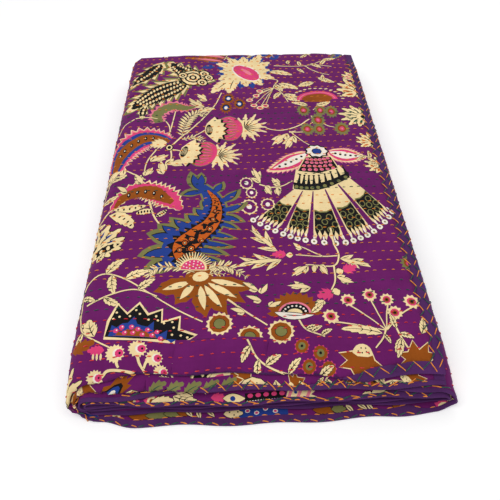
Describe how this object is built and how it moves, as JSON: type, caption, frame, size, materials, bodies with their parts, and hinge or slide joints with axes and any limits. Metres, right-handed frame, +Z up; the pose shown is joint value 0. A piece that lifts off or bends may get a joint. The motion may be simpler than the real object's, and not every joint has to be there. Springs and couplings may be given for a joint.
{
  "type": "folded bedspread",
  "caption": "Flat quilted cotton bedspread, doubled front to back and wound into a neat rectangular stack, with stepped hems at the front and a bound edge.",
  "frame": {"origin": "middle of the underside's bounding box, on the surface that the folded bedspread lies on", "axes": "+X to the right along the short side, +Y to the back fold along the long side, +Z up; the stepped hems face -Y"},
  "size_m": [0.517, 0.8298, 0.0668],
  "materials": {
    "printed_cotton": "matt printed cotton voile with running stitches",
    "plain_cotton": "matt plain cotton with whipped thread",
    "thread": "twisted cotton thread"
  },
  "bodies": {
    "root": {"cover_cloth": "printed_cotton", "binding_outer_hem": "plain_cotton", "binding_inner_hem": "plain_cotton", "binding_outer_end": "plain_cotton", "binding_inner_end": "plain_cotton"}
  },
  "joints": []
}
